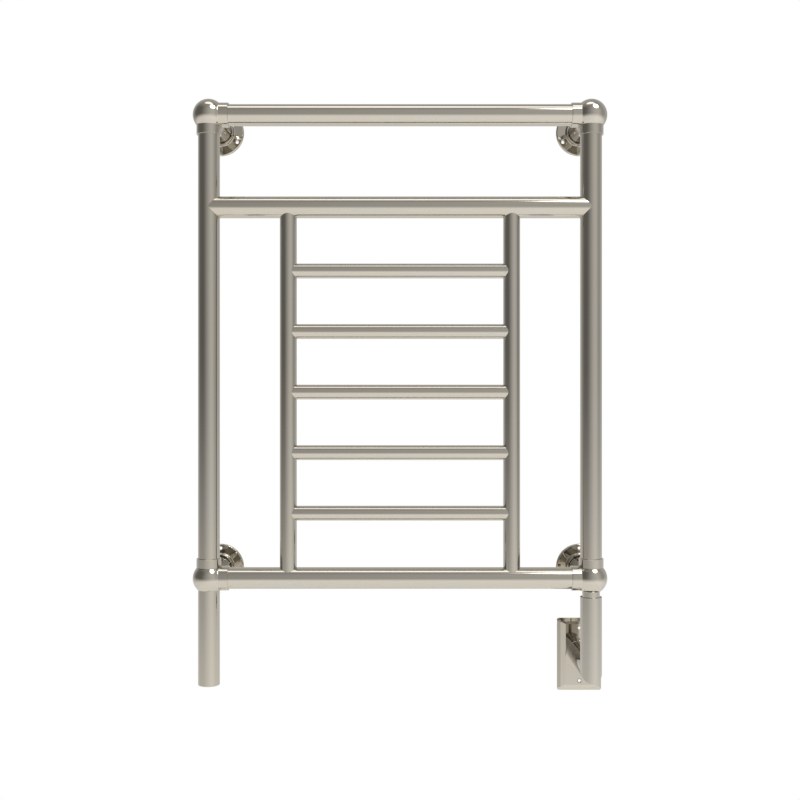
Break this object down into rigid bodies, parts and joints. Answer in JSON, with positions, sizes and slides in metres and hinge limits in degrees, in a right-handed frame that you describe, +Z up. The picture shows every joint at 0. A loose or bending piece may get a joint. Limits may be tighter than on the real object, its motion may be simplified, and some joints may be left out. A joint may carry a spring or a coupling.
{
  "type": "towel warmer rack",
  "caption": "Wall-mounted electric towel warmer: a ladder of polished nickel tubes with ball corner fittings, round wall flanges, and a wired leg that enters a wall plate.",
  "frame": {"origin": "on the wall plane, at the centre of the four wall flanges", "axes": "+Z up, +Y into the wall, +X to the right for someone facing the rack"},
  "size_m": [0.641, 0.136, 0.9196],
  "materials": {
    "nickel_tube": "polished nickel plate on drawn tube",
    "nickel_casting": "polished nickel plate on forged fittings",
    "nickel_plate": "mirror polished nickel plate",
    "screw_steel": "plain stainless steel",
    "element_steel": "drawn stainless sheath",
    "element_brass": "machined brass",
    "seal_rubber": "moulded rubber",
    "cutout_resin": "moulded phenolic resin",
    "line_sleeve": "silicone lead insulation, black",
    "neutral_sleeve": "silicone lead insulation, white",
    "earth_sleeve": "silicone lead insulation, green",
    "terminal_nylon": "natural nylon"
  },
  "bodies": {
    "root": {"left_post": "nickel_tube", "right_post": "nickel_tube", "top_rail": "nickel_tube", "bottom_rail": "nickel_tube", "towel_rail": "nickel_tube", "left_inner_upright": "nickel_tube", "right_inner_upright": "nickel_tube", "rung_1": "nickel_tube", "rung_2": "nickel_tube", "rung_3": "nickel_tube", "rung_4": "nickel_tube", "rung_5": "nickel_tube", "upper_left_ball": "nickel_casting", "upper_right_ball": "nickel_casting", "lower_left_ball": "nickel_casting", "lower_right_ball": "nickel_casting", "upper_left_sleeve": "nickel_tube", "upper_right_sleeve": "nickel_tube", "lower_left_sleeve": "nickel_tube", "lower_right_sleeve": "nickel_tube", "sleeve_screws": "screw_steel", "upper_left_flange": "nickel_plate", "upper_right_flange": "nickel_plate", "lower_left_flange": "nickel_plate", "lower_right_flange": "nickel_plate", "sleeve_grub_screws": "screw_steel", "left_leg": "nickel_tube", "filler_plug": "nickel_casting", "filler_plug_seal": "seal_rubber", "heating_element": "element_steel", "element_head": "element_brass", "element_seal": "seal_rubber", "thermal_cutout": "cutout_resin", "leg_neck": "nickel_casting", "right_leg": "nickel_tube", "elbow_tube": "nickel_tube", "line_lead": "line_sleeve", "neutral_lead": "neutral_sleeve", "earth_lead": "earth_sleeve", "terminal_block": "terminal_nylon", "terminal_screws": "element_brass", "lead_bush": "seal_rubber", "wall_plate": "nickel_plate", "plate_ring": "nickel_plate"}
  },
  "joints": []
}
